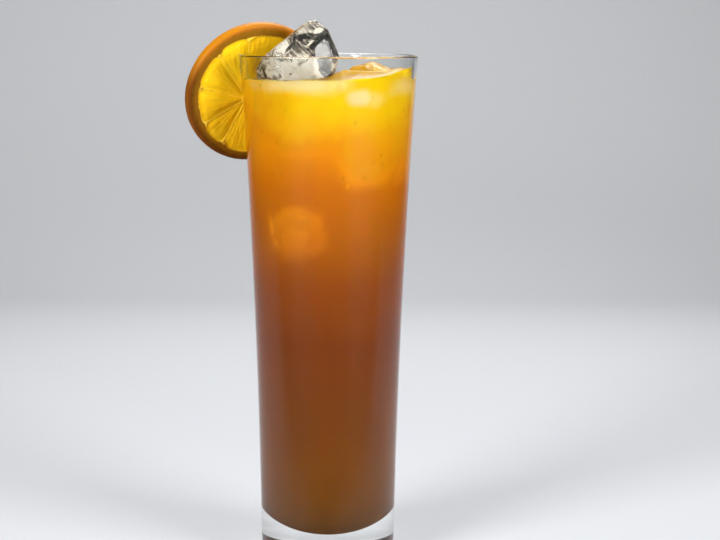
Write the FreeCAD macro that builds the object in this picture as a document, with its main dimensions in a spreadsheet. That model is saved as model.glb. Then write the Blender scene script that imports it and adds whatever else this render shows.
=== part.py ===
import FreeCAD, Part
import math
import os
import Sketcher
from FreeCAD import Vector

# A tall flared glass of cloudy citrus tonic: the glass, the drink up to its level, a citrus
# wheel slit and hung over the rim, a clear chunk of ice that stands out of the drink, and a
# smaller lump of ice that floats beside it.
#
# Frame: millimetres, +Z up, origin at the centre of the foot's ring, which stands on z = 0.
# The glass is round about Z. The wheel hangs at the -X side of the rim, its cut face towards -Y.

SIZES = [
    # glass
    ("glass_height", 184.0, "foot ring to lip"),
    ("rim_radius", 32.0, "outside, at the lip"),
    ("waist_height", 92.0, "height at which the flare is measured"),
    ("waist_radius", 27.0, "outside, at waist_height"),
    ("foot_radius", 24.5, "outside, at the foot"),
    ("wall", 1.6, "thickness of the wall"),
    ("lip_share", 0.46, "round of the lip's two edges, as a share of the wall"),
    ("base_thickness", 9.4, "foot ring to the lowest point inside"),
    ("inner_corner", 22.6, "round between wall and floor inside, which makes a bowl"),
    ("heel_round", 2.5, "round between wall and foot ring"),
    ("punt_radius", 18.0, "hollow under the base"),
    ("punt_depth", 1.5, "depth of that hollow"),
    # drink
    ("headspace", 9.0, "lip down to the drink's surface"),
    # citrus wheel
    ("wheel_radius", 26.7, "outside of the rind"),
    ("wheel_thickness", 4.2, "cut face to cut face"),
    ("rind_width", 4.7, "rind and pith together"),
    ("rind_round", 1.1, "round at the rind's two edges"),
    ("pulp_sink", 0.45, "pulp below the pith, on each face"),
    ("membrane_width", 0.9, "walls between the segments"),
    ("membrane_drop", 0.15, "membranes below the pith"),
    ("core_radius", 1.9, "pith at the middle"),
    ("core_out", 3.4, "core off the wheel's centre, away from the glass"),
    ("core_down", 1.9, "core below the wheel's centre"),
    ("segment_count", 9, "segments in the wheel"),
    ("first_membrane", 11.0, "degrees, first wall between segments, up from the wheel's X"),
    ("wheel_inset", 4.2, "wall's middle to the wheel's centre"),
    ("wheel_drop", 13.6, "lip down to the wheel's centre"),
    ("wheel_turn", 24.0, "degrees, cut face turned towards +X"),
    ("wheel_lean", 20.0, "degrees, top leaned towards -Y"),
    ("slit_clearance", 0.15, "play of the wall in the wheel's slit"),
    # ice, drawn in together where the lip is tighter than its own sizes suit
    ("ice_mouth", 30.4, "inner radius of the lip that the ice's sizes suit"),
    # ice chunk
    ("chunk_width", 30.0, "along X"),
    ("chunk_height", 34.0, "along Z"),
    ("chunk_depth", 19.0, "along Y"),
    ("chunk_x", -11.3, "middle, from the axis"),
    ("chunk_y", -9.5, "middle, from the axis"),
    ("chunk_rise", 4.5, "middle above the drink's surface"),
    # ice lump
    ("lump_width", 21.0, "along X"),
    ("lump_height", 19.0, "along Z"),
    ("lump_depth", 19.0, "along Y"),
    ("lump_x", 15.4, "middle, from the axis"),
    ("lump_y", -9.5, "middle, from the axis"),
    ("lump_rise", -2.7, "middle above the drink's surface"),
]

# Outlines of the two pieces of ice, seen along Y, as shares of half their width and height
CHUNK_OUTLINE = [
    (-1.00, -0.05), (-0.78, 0.17), (-0.42, 0.30), (0.00, 0.84), (0.36, 1.00), (0.82, 0.80),
    (1.00, 0.40), (0.96, 0.14), (0.55, -0.24), (0.20, -1.00), (-0.60, -0.80),
]
LUMP_OUTLINE = [
    (-1.00, 0.50), (-0.66, 0.84), (0.00, 1.00), (0.56, 0.82),
    (1.00, 0.52), (0.88, -0.50), (0.20, -1.00), (-0.78, -0.70),
]
# Sections through each piece of ice from front to back: place along Y as a share of half the
# depth, size as a share of the outline, and shift along X and Z as shares of half the width
CHUNK_SECTIONS = [
    (-1.00, 0.56, 0.10, 0.02), (-0.42, 0.95, 0.04, 0.00),
    (0.30, 1.00, 0.00, 0.00), (1.00, 0.60, 0.06, -0.10),
]
LUMP_SECTIONS = [
    (-1.00, 0.52, -0.06, -0.04), (-0.35, 1.00, 0.00, 0.00),
    (0.40, 0.93, 0.03, -0.03), (1.00, 0.55, 0.08, -0.08),
]
# How far each wall between two segments stands off its even place, in degrees
MEMBRANE_SWAY = [0.0, 0.0, 4.0, -4.0, -4.0, 1.5, -4.0, 0.0, 0.0]

# Where the wheel's core lies in its cut face
CORE_PLACE = "vector(-Sizes.core_out * 1 mm; -Sizes.core_down * 1 mm; 0)"

doc = FreeCAD.newDocument("glass_of_yuzu_tonic")
sheet = doc.addObject("Spreadsheet::Sheet", "Sizes")
for row, (alias, value, meaning) in enumerate(SIZES, start=1):
    sheet.set(f"A{row}", meaning)
    sheet.set(f"B{row}", str(value))
    sheet.setAlias(f"B{row}", alias)
doc.recompute()


def size(alias):
    """Value of one cell of the sheet, in millimetres, degrees or pieces."""
    return float(sheet.get(alias))


def new_body(name):
    """An empty body whose Label, and so whose file, is name."""
    body = doc.addObject("PartDesign::Body", name)
    body.Label = name
    return body


def new_sketch(body, name, plane):
    """A sketch on one of the body's own origin planes."""
    sketch = body.newObject("Sketcher::SketchObject", name)
    origin_plane = next(item for item in body.Origin.OriginFeatures if item.Role == plane)
    sketch.AttachmentSupport = [(origin_plane, "")]
    sketch.MapMode = "FlatFace"
    return sketch


def bind(sketch, constraint, expression):
    """Add a constraint with a size, and tie that size to an expression over the sheet."""
    index = sketch.addConstraint(constraint)
    sketch.setExpression(f"Constraints[{index}]", expression)


def join(sketch, first, first_vertex, second, second_vertex):
    sketch.addConstraint(Sketcher.Constraint("Coincident", first, first_vertex, second, second_vertex))


def on_axis(sketch, geometry, vertex):
    """Keep a vertex on the axis of revolution, the sketch's vertical axis."""
    sketch.addConstraint(Sketcher.Constraint("PointOnObject", geometry, vertex, -2))


def flare(inward):
    """The flare's circle in the half section: through the foot, waist and rim radii less inward.

    Also returns the three points, and 1 where the circle's middle lies outside the glass, so that
    the wall is hollow towards it, or -1 where it lies on the axis's side and the wall bulges.
    """
    radii = ("foot_radius", "waist_radius", "rim_radius")
    levels = (0.0, size("waist_height"), size("glass_height"))
    points = [Vector(size(radius) - inward, level, 0) for radius, level in zip(radii, levels)]
    circle = Part.Circle(*points)
    return circle, points, math.copysign(1.0, circle.Center.x - points[1].x)


def wall_arc(sketch, inward, low, high):
    """The flare as one arc, through the foot, waist and rim radii less `inward`.

    inward, low and high are pairs of a number and the expression that gives it. The arc runs
    from height low (its vertex 1 or 2, whichever is lower) to height high. An end whose
    expression is empty is left free, for the round that meets it to set.
    """
    circle, points, away = flare(inward[0])

    def at(level):
        reach = math.sqrt(circle.Radius**2 - (level - circle.Center.y) ** 2)
        return Vector(circle.Center.x - away * reach, level, 0)

    ends = at(low[0]), at(high[0])
    middle = at((low[0] + high[0]) / 2)
    arc = sketch.addGeometry(Part.Arc(ends[0], middle, ends[1]), False)
    radius_names = ("foot_radius", "waist_radius", "rim_radius")
    level_texts = ("0 mm", "Sizes.waist_height * 1 mm", "Sizes.glass_height * 1 mm")
    for point, radius, level_text in zip(points, radius_names, level_texts):
        guide = sketch.addGeometry(Part.Point(point), True)
        radius_text = f"(Sizes.{radius} - {inward[1]}) * 1 mm"
        bind(sketch, Sketcher.Constraint("DistanceX", -1, 1, guide, 1, point.x), radius_text)
        if point.y > 0:
            bind(sketch, Sketcher.Constraint("DistanceY", -1, 1, guide, 1, point.y), level_text)
        else:
            sketch.addConstraint(Sketcher.Constraint("PointOnObject", guide, 1, -1))
        sketch.addConstraint(Sketcher.Constraint("PointOnObject", guide, 1, arc))
    lower, upper = sorted((1, 2), key=lambda vertex: sketch.getPoint(arc, vertex).y)
    for vertex, (number, text) in ((lower, low), (upper, high)):
        if text and number > 0:
            height = Sketcher.Constraint("DistanceY", -1, 1, arc, vertex, number)
            bind(sketch, height, f"({text}) * 1 mm")
        elif text:
            sketch.addConstraint(Sketcher.Constraint("PointOnObject", arc, vertex, -1))
    return arc, lower, upper


def place_round(inward, level, radius, side, up):
    """Middle of a round that joins the flare to a level line, and the point where it touches the flare.

    side is 1 for a round on the axis's side of the flare and -1 for one on its far side; up is 1
    for a round above the level line and -1 for one below it. The middle is one radius from both.
    """
    circle, _, away = flare(inward)
    rise = level + up * radius
    reach = math.sqrt((circle.Radius + away * side * radius) ** 2 - (rise - circle.Center.y) ** 2)
    centre = Vector(circle.Center.x - away * reach, rise, 0)
    return centre, centre + (circle.Center - centre).normalize() * (away * side * radius)


def add_round(sketch, wall, vertex, place, radius, up):
    """A round tangent to the flare at one vertex; returns it and its vertex on the level line."""
    centre, touch = place
    start = centre - Vector(0, up * radius[0], 0)
    middle = centre + (start + touch - centre * 2).normalize() * radius[0]
    bend = sketch.addGeometry(Part.Arc(start, middle, touch), False)
    near, far = sorted((1, 2), key=lambda end: up * sketch.getPoint(bend, end).y)
    sketch.addConstraint(Sketcher.Constraint("Tangent", bend, far, wall, vertex))
    bind(sketch, Sketcher.Constraint("Radius", bend, radius[0]), radius[1])
    return bend, near


def level_line(sketch, bend, vertex, end, level):
    """A level line that a round runs into, drawn as far as end, at a height given with its text."""
    straight = line(sketch, sketch.getPoint(bend, vertex), end)
    sketch.addConstraint(Sketcher.Constraint("Tangent", straight, 1, bend, vertex))
    sketch.addConstraint(Sketcher.Constraint("Horizontal", straight))
    if level[0] > 0:
        bind(sketch, Sketcher.Constraint("DistanceY", -1, 1, straight, 2, level[0]), f"{level[1]} * 1 mm")
    else:
        sketch.addConstraint(Sketcher.Constraint("PointOnObject", straight, 2, -1))
    return straight


def line(sketch, start, end):
    return sketch.addGeometry(Part.LineSegment(start, end), False)


def line_between(sketch, first, first_vertex, second, second_vertex):
    """A line that joins two vertices which are already there."""
    between = line(sketch, sketch.getPoint(first, first_vertex), sketch.getPoint(second, second_vertex))
    join(sketch, between, 1, first, first_vertex)
    join(sketch, between, 2, second, second_vertex)
    return between


def line_to_axis(sketch, geometry, vertex):
    """A level line from a vertex to the axis of revolution."""
    start = sketch.getPoint(geometry, vertex)
    level = line(sketch, start, Vector(0, start.y, 0))
    join(sketch, level, 1, geometry, vertex)
    on_axis(sketch, level, 2)
    sketch.addConstraint(Sketcher.Constraint("Horizontal", level))
    return level


def revolve(body, sketch, name):
    """Turn a profile once round the body's Z axis."""
    turned = body.newObject("PartDesign::Revolution", name)
    turned.Profile = sketch
    turned.ReferenceAxis = (sketch, ["V_Axis"])
    turned.Angle = 360.0
    doc.recompute()
    return turned


def circles(feature):
    """Name and curve of each edge of a feature that is part of a circle."""
    edges = enumerate(feature.Shape.Edges, start=1)
    curves = [(f"Edge{number}", edge.Curve) for number, edge in edges if not edge.Degenerated]
    return [(name, curve) for name, curve in curves if isinstance(curve, Part.Circle)]


def fillet(body, base, edges, radius, name):
    """Round the named edges with a radius given by an expression."""
    rounded = body.newObject("PartDesign::Fillet", name)
    rounded.Base = (base, edges)
    rounded.setExpression("Radius", radius)
    doc.recompute()
    return rounded


def inner_corner():
    """Radius of the bowl inside and its expression: the room inside the foot and the waist limits it."""
    room = min(size("foot_radius"), size("waist_radius")) - size("wall")
    text = "min(Sizes.inner_corner; Sizes.foot_radius - Sizes.wall; Sizes.waist_radius - Sizes.wall) * 1 mm"
    return min(size("inner_corner"), room), text


def add_bowl(sketch, high):
    """The glass's inside: the level floor from the axis, the bowl's round and the wall up to high."""
    inward = (size("wall"), "Sizes.wall")
    floor = (size("base_thickness"), "Sizes.base_thickness")
    corner = inner_corner()
    place = place_round(inward[0], floor[0], corner[0], 1, 1)
    wall, low, top = wall_arc(sketch, inward, (place[1].y, ""), high)
    bend, near = add_round(sketch, wall, low, place, corner, 1)
    straight = level_line(sketch, bend, near, Vector(0, floor[0], 0), floor)
    on_axis(sketch, straight, 2)
    return wall, top, straight


def add_punt(sketch):
    """The shallow hollow under the base, part of a sphere about the axis."""
    radius, depth = size("punt_radius"), size("punt_depth")
    reach = (radius**2 + depth**2) / (2 * depth)
    half = math.asin(radius / reach) / 2
    shoulder = Vector(reach * math.sin(half), reach * math.cos(half) - reach + depth, 0)
    punt = sketch.addGeometry(Part.Arc(Vector(0, depth, 0), shoulder, Vector(radius, 0, 0)), False)
    top, rim = sorted((1, 2), key=lambda vertex: sketch.getPoint(punt, vertex).x)
    on_axis(sketch, punt, top)
    on_axis(sketch, punt, 3)
    bind(sketch, Sketcher.Constraint("DistanceY", -1, 1, punt, top, depth), "Sizes.punt_depth * 1 mm")
    bind(sketch, Sketcher.Constraint("DistanceX", -1, 1, punt, rim, radius), "Sizes.punt_radius * 1 mm")
    return punt, top, rim


def make_glass():
    """Flared tumbler with a bowl inside, a rounded heel and lip and a punt, turned round Z."""
    body = new_body("glass")
    sketch = new_sketch(body, "glass_half_section", "XZ_Plane")
    height = (size("glass_height"), "Sizes.glass_height")
    heel = (size("heel_round"), "Sizes.heel_round * 1 mm")
    lip = (size("wall") * size("lip_share"), "Sizes.wall * Sizes.lip_share * 1 mm")
    heel_place = place_round(0.0, 0.0, heel[0], 1, 1)
    outer_place = place_round(0.0, height[0], lip[0], 1, -1)
    inner_place = place_round(size("wall"), height[0], lip[0], -1, -1)
    outer, outer_low, outer_high = wall_arc(sketch, (0.0, "0"), (heel_place[1].y, ""), (outer_place[1].y, ""))
    inner, inner_high, floor = add_bowl(sketch, (inner_place[1].y, ""))
    heel_arc, heel_near = add_round(sketch, outer, outer_low, heel_place, heel, 1)
    outer_lip, outer_near = add_round(sketch, outer, outer_high, outer_place, lip, -1)
    inner_lip, inner_near = add_round(sketch, inner, inner_high, inner_place, lip, -1)
    top = level_line(sketch, outer_lip, outer_near, sketch.getPoint(inner_lip, inner_near), height)
    sketch.addConstraint(Sketcher.Constraint("Tangent", top, 2, inner_lip, inner_near))
    punt, crown, rim = add_punt(sketch)
    ring = level_line(sketch, heel_arc, heel_near, sketch.getPoint(punt, rim), (0.0, ""))
    join(sketch, ring, 2, punt, rim)
    line_between(sketch, floor, 2, punt, crown)
    revolve(body, sketch, "glass_turned")
    return body


def make_fill():
    """Everything inside the glass from its floor up to the drink's surface."""
    body = new_body("fill")
    sketch = new_sketch(body, "fill_half_section", "XZ_Plane")
    level = (size("glass_height") - size("headspace"), "Sizes.glass_height - Sizes.headspace")
    wall, wall_high, floor = add_bowl(sketch, level)
    surface = line_to_axis(sketch, wall, wall_high)
    line_between(sketch, floor, 2, surface, 2)
    revolve(body, sketch, "fill_turned")
    return body


def make_rim_gauge():
    """The glass's wall made thicker by the slit's clearance: what the wheel's slit lets in."""
    body = new_body("rim_gauge")
    sketch = new_sketch(body, "gauge_half_section", "XZ_Plane")
    low = (0.0, "0")
    high = (size("glass_height"), "Sizes.glass_height")
    play = size("slit_clearance")
    outer, outer_low, outer_high = wall_arc(sketch, (-play, "-Sizes.slit_clearance"), low, high)
    inward = (size("wall") + play, "(Sizes.wall + Sizes.slit_clearance)")
    inner, inner_low, inner_high = wall_arc(sketch, inward, low, high)
    line_between(sketch, outer, outer_high, inner, inner_high)
    line_between(sketch, outer, outer_low, inner, inner_low)
    revolve(body, sketch, "gauge_turned")
    return body


def bind_wheel_place(feature):
    """Hang the wheel so that its middle plane crosses the lip at the -X side of the rim."""
    feature.setExpression(
        "Placement",
        "placement(vector("
        "-(Sizes.rim_radius - Sizes.wall / 2 - Sizes.wheel_inset) * 1 mm;"
        "(Sizes.wheel_inset * tan(Sizes.wheel_turn * 1 deg)"
        " + Sizes.wheel_drop * tan(Sizes.wheel_lean * 1 deg) / cos(Sizes.wheel_turn * 1 deg)) * 1 mm;"
        "(Sizes.glass_height - Sizes.wheel_drop) * 1 mm);"
        "rotation(Sizes.wheel_turn; 0; 90 + Sizes.wheel_lean))",
    )


def wheel_half_section(body, pulp_sink, sink_text):
    """Half section of the wheel: rind and pith at full thickness, the pulp lower by pulp_sink."""
    sketch = new_sketch(body, f"{body.Label}_half_section", "XZ_Plane")
    radius, half = size("wheel_radius"), size("wheel_thickness") / 2
    pulp, sunk = radius - size("rind_width"), half - pulp_sink
    pulp_text = "(Sizes.wheel_radius - Sizes.rind_width) * 1 mm"
    radius_text = "Sizes.wheel_radius * 1 mm"
    half_text = "Sizes.wheel_thickness * 0.5 mm"
    sunk_text = f"(Sizes.wheel_thickness / 2 - {sink_text}) * 1 mm"
    upper = [(radius, half, radius_text, half_text)]
    if pulp_sink > 0:
        upper.append((pulp, half, pulp_text, half_text))
        upper.append((pulp, sunk, pulp_text, sunk_text))
    upper.append((0, sunk, "0 mm", sunk_text))
    lower = [(x, -y, x_text, "-" + y_text) for x, y, x_text, y_text in reversed(upper)]
    ring = lower + upper
    corners = [item[:2] for item in ring]
    close_polygon(sketch, corners, [item[2] for item in ring], [item[3] for item in ring])
    return sketch


def close_polygon(sketch, corners, across, up):
    """A closed run of lines through corners, each corner tied to its two expressions."""
    spots = [Vector(x, y, 0) for x, y in corners]
    sides = [line(sketch, spot, after) for spot, after in zip(spots, spots[1:] + spots[:1])]
    for number, side in enumerate(sides):
        join(sketch, side, 2, sides[(number + 1) % len(sides)], 1)
        if spots[number].x == 0:
            on_axis(sketch, side, 1)
        else:
            bind(sketch, Sketcher.Constraint("DistanceX", -1, 1, side, 1, spots[number].x), across[number])
        bind(sketch, Sketcher.Constraint("DistanceY", -1, 1, side, 1, spots[number].y), up[number])


def add_membrane(body, number):
    """One wall between two segments, from the core out into the pith, through both faces.

    Its length is the way from the core, along its own direction, to the pith's middle circle:
    the core's offset along that direction, added to the root of the circle's radius squared
    less the offset across it squared.
    """
    sway = MEMBRANE_SWAY[number % len(MEMBRANE_SWAY)]
    turn = f"({number} * 360 / Sizes.segment_count + Sizes.first_membrane + {sway})"
    angle = math.radians(number * 360 / size("segment_count") + size("first_membrane") + sway)
    out, down = size("core_out"), size("core_down")
    along = out * math.cos(angle) + down * math.sin(angle)
    beside = out * math.sin(angle) - down * math.cos(angle)
    pith = size("wheel_radius") - size("rind_width") / 2
    length = along + math.sqrt(pith**2 - beside**2)
    cosine, sine = f"cos({turn} * 1 deg)", f"sin({turn} * 1 deg)"
    along_text = f"Sizes.core_out * {cosine} + Sizes.core_down * {sine}"
    beside_text = f"(Sizes.core_out * {sine} - Sizes.core_down * {cosine})"
    pith_text = "(Sizes.wheel_radius - Sizes.rind_width / 2)"
    length_text = f"({along_text} + sqrt({pith_text}^2 - {beside_text}^2)) * 1 mm"
    half = size("membrane_width") / 2
    half_text = "Sizes.membrane_width * 0.5 mm"
    sketch = new_sketch(body, f"membrane_outline_{number}", "XY_Plane")
    sketch.setExpression("AttachmentOffset", f"placement({CORE_PLACE}; rotation({turn}; 0; 0))")
    corners = [(0, -half), (length, -half), (length, half), (0, half)]
    across = ["0 mm", length_text, length_text, "0 mm"]
    close_polygon(sketch, corners, across, ["-" + half_text] * 2 + [half_text] * 2)
    pad_both_ways(body, sketch, f"membrane_{number}")


def pad_both_ways(body, sketch, name):
    """Pad a sketch evenly through the wheel, up to just under its faces."""
    pad = body.newObject("PartDesign::Pad", name)
    pad.Profile = sketch
    pad.Midplane = True
    pad.setExpression("Length", "(Sizes.wheel_thickness - 2 * Sizes.membrane_drop) * 1 mm")
    doc.recompute()


def turn_wheel(name, pulp_sink, sink_text):
    """A body with the wheel turned from its half section and its rind rounded."""
    body = new_body(name)
    turned = revolve(body, wheel_half_section(body, pulp_sink, sink_text), f"{name}_turned")
    edges = [name for name, curve in circles(turned) if abs(curve.Radius - size("wheel_radius")) < 0.01]
    fillet(body, turned, edges, "Sizes.rind_round * 1 mm", f"{name}_rind_rounds")
    bind_wheel_place(body)
    return body


def make_wheel_disc():
    """The whole wheel before it is slit: rind, pith, sunk pulp, membranes and core."""
    body = turn_wheel("wheel_disc", size("pulp_sink"), "Sizes.pulp_sink")
    for number in range(int(size("segment_count"))):
        add_membrane(body, number)
    core = new_sketch(body, "core_outline", "XY_Plane")
    core.setExpression("AttachmentOffset", f"placement({CORE_PLACE}; rotation(0; 0; 0))")
    circle = core.addGeometry(Part.Circle(Vector(0, 0, 0), Vector(0, 0, 1), size("core_radius")), False)
    join(core, circle, 3, -1, 1)
    bind(core, Sketcher.Constraint("Radius", circle, size("core_radius")), "Sizes.core_radius * 1 mm")
    pad_both_ways(body, core, "core")
    return body


def make_wheel_bed():
    """The room the wheel takes up in the drink: its outline with no relief on its faces."""
    return turn_wheel("wheel_bed", 0.0, "0")


ICE_FIT = "min(1; (Sizes.rim_radius - Sizes.wall) / Sizes.ice_mouth)"


def make_ice(name, short, outline, sections):
    """Rough piece of ice: a ruled loft through sections of one outline, from front to back."""
    body = new_body(name)
    width, height = (size(f"{short}_{part}") for part in ("width", "height"))
    fit = min(1.0, (size("rim_radius") - size("wall")) / size("ice_mouth"))
    drawn = []
    for number, (place, scale, shift_x, shift_z) in enumerate(sections):
        sketch = new_sketch(body, f"{name}_section_{number}", "XZ_Plane")
        back = f"{-place} * Sizes.{short}_depth * 0.5 mm * {ICE_FIT}"
        sketch.setExpression("AttachmentOffset.Base.z", back)
        shares = [(scale * x + shift_x, scale * z + shift_z) for x, z in outline]
        corners = [(x * fit * width / 2, z * height / 2) for x, z in shares]
        across = [f"{x:.4f} * Sizes.{short}_width * 0.5 mm * {ICE_FIT}" for x, z in shares]
        up = [f"{z:.4f} * Sizes.{short}_height * 0.5 mm" for x, z in shares]
        close_polygon(sketch, corners, across, up)
        drawn.append(sketch)
    loft = body.newObject("PartDesign::AdditiveLoft", f"{name}_loft")
    loft.Profile = drawn[0]
    loft.Sections = drawn[1:]
    loft.Ruled = True
    body.setExpression("Placement.Base.x", f"Sizes.{short}_x * {ICE_FIT} * 1 mm")
    body.setExpression("Placement.Base.y", f"Sizes.{short}_y * {ICE_FIT} * 1 mm")
    rise = f"(Sizes.glass_height - Sizes.headspace + Sizes.{short}_rise) * 1 mm"
    body.setExpression("Placement.Base.z", rise)
    doc.recompute()
    return body


def cut(name, base, tool):
    """A boolean cut of one object from another."""
    result = doc.addObject("Part::Cut", name)
    result.Label = name
    result.Base = base
    result.Tool = tool
    doc.recompute()
    return result


def check_document():
    """Stop if any object failed to compute."""
    for item in doc.Objects:
        if {"Invalid", "Error"} & set(item.State):
            raise RuntimeError(f"{item.Label} failed: {item.State}")


def write_nodes(nodes):
    """Write each finished piece to its own STEP file, after a check of its shape."""
    os.makedirs("parts", exist_ok=True)
    for node in nodes:
        shape = node.Shape
        if shape.isNull() or not shape.isValid() or shape.Volume <= 0:
            raise RuntimeError(f"{node.Label} has no sound shape")
        shape.exportStep(f"parts/{node.Label}.step")
        print(f"{node.Label}: {len(shape.Solids)} solid, {shape.Volume / 1000:.2f} cm3")


glass = make_glass()
wheel_disc = make_wheel_disc()
citrus_wheel = cut("citrus_wheel", wheel_disc, make_rim_gauge())
ice_chunk = make_ice("ice_chunk", "chunk", CHUNK_OUTLINE, CHUNK_SECTIONS)
ice_lump = make_ice("ice_lump", "lump", LUMP_OUTLINE, LUMP_SECTIONS)
fill_round_wheel = cut("fill_round_wheel", make_fill(), make_wheel_bed())
fill_round_chunk = cut("fill_round_chunk", fill_round_wheel, ice_chunk)
drink = cut("drink", fill_round_chunk, ice_lump)
doc.recompute()
check_document()
write_nodes([glass, drink, citrus_wheel, ice_chunk, ice_lump])
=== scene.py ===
import itertools
import math

import bpy
import numpy as np
from bpy.props import FloatProperty, FloatVectorProperty, IntProperty, PointerProperty
from mathutils import Matrix, Vector


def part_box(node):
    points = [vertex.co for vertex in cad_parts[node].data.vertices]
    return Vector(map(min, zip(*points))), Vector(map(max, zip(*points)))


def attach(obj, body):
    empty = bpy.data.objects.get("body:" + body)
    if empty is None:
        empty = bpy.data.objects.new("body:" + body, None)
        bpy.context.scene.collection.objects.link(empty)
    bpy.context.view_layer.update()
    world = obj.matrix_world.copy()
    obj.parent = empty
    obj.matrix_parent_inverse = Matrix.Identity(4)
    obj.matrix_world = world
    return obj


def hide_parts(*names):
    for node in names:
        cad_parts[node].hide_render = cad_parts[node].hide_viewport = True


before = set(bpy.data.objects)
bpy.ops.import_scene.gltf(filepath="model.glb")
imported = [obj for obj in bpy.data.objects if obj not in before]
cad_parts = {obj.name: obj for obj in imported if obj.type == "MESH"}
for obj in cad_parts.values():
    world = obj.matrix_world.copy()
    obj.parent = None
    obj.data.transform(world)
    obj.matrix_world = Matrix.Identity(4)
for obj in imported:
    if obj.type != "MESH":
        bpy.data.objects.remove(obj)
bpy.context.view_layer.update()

bl_info = {
    "name": "Glass of Yuzu Tonic",
    "version": (1, 0, 0),
    "blender": (4, 5, 0),
    "location": "3D View > Sidebar > Tonic",
    "description": "Builds a tall glass of cloudy citrus tonic with ice and a citrus wheel",
    "category": "Add Mesh",
}

MM = 0.001
GLASS_TOP = float(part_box("glass")[1][2])
DRINK_LEVEL = float(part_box("drink")[1][2])
DRINK_FLOOR = float(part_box("drink")[0][2])
WAIST_HEIGHT = 92.0 * MM
WAIST_RADIUS = 27.0 * MM
FOOT_RADIUS = 24.5 * MM
RIM_RADIUS = 32.0 * MM
LIP_SHARE = 0.46              # round of the lip, as a share of the wall
AXIS_GAP = 0.5 * MM           # radius of the innermost ring of a turned shape, which a pole closes
MENISCUS_SPREAD = 0.9 * MM    # how fast the drink's climb at the wall dies away

# Outlines of the pieces of ice seen from the front, as shares of half their width and height
CHUNK_OUTLINE = [
    (-1.00, -0.05), (-0.72, 0.32), (-0.36, 0.56), (0.00, 0.82), (0.34, 1.00), (0.84, 0.80), (0.91, 0.60),
    (1.00, 0.42), (1.00, 0.10), (0.80, -0.05), (0.55, -0.24), (0.20, -1.00), (-0.60, -0.80),
]
LUMP_OUTLINE = [
    (-1.00, 0.50), (-0.66, 0.84), (0.00, 1.00), (0.56, 0.82),
    (1.00, 0.52), (0.88, -0.50), (0.20, -1.00), (-0.78, -0.70),
]
# How far each wall between two segments of the wheel stands off its even place, in degrees
MEMBRANE_SWAY = (0.0, 0.0, 4.0, -4.0, -4.0, 1.5, -4.0, 0.0, 0.0)
# Painted light and shade across each segment's pulp, as if a raking light fell on its relief: how
# much paler the pulp is at its second wall than at its first
SEGMENT_LIGHT_TILT = (0.4, -0.5, 0.3, 0.55, -0.6, 0.65, 0.5, -0.4, 0.4)

# The wheel's cut faces: half a wall between two segments, the notch where it meets the pith (its depth
# and width), the roundness of a segment's corners, and the size of a juice sac along its segment
MEMBRANE_HALF = 0.08 * MM
NOTCH_DEPTH = 1.4 * MM
NOTCH_WIDTH = 1.5 * MM
CORNER_SOFTNESS = 0.5 * MM
SAC_LENGTH = 6.5 * MM
SACS_AROUND = 11         # juice sacs in a radian

CORE_SHARE = 0.925     # size of the chunk's frosted core, as a share of the chunk's
FROST_SLANT = -42.0    # fall of the core's streaks, in degrees
# Dark and bright places of the frosted core seen from the front: the dark ones are dark surroundings
# seen through clear ice, painted, and the bright ones painted highlights and white frost. Each has
# middle (x, z) and half size (x, z) in millimetres, turn in degrees, and tone, below 0 darker and
# above 0 brighter
FROST_AND_REFLECTION_PLACES = (
    ((-1.2, 187.6), (5.2, 4.4), 30.0, -1.00),
    ((-8.6, 190.6), (3.6, 1.2), 10.0, -0.60),
    ((-12.2, 189.2), (0.5, 2.6), 0.0, -0.80),
    ((-14.0, 186.6), (0.45, 2.2), -40.0, -0.80),
    ((-10.0, 187.0), (4.6, 2.6), 20.0, -0.22),
    ((-1.6, 180.2), (2.4, 3.0), 0.0, -0.90),
    ((-22.5, 178.0), (0.45, 3.0), 24.0, -0.90),
    ((-10.4, 180.6), (1.6, 0.8), 40.0, -0.60),
    ((-13.3, 177.7), (0.4, 0.4), 0.0, -1.00),
    ((-16.3, 186.6), (2.0, 2.3), 40.0, 0.65),
    ((-3.8, 192.6), (1.8, 0.9), 20.0, 1.30),
    ((-6.4, 188.4), (1.6, 0.4), 38.0, 0.90),
    ((-11.0, 178.4), (6.8, 3.4), 0.0, 0.75),
    ((-6.6, 178.8), (2.2, 3.4), -20.0, 0.70),
    ((-19.2, 179.6), (2.8, 3.2), 10.0, 0.45),
    ((1.0, 186.4), (1.0, 0.5), 30.0, 0.90),
)

PATCH_POWER = 2.6        # boxiness of a lit place: 2 is an oval
FROTH_SLANT = 0.35       # fall of the froth's streaks along X
SPECK_CELL = 4.0 * MM    # at most one speck in each such square of the wall
SPECK_SHARE = 0.40       # how dark a speck is
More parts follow.
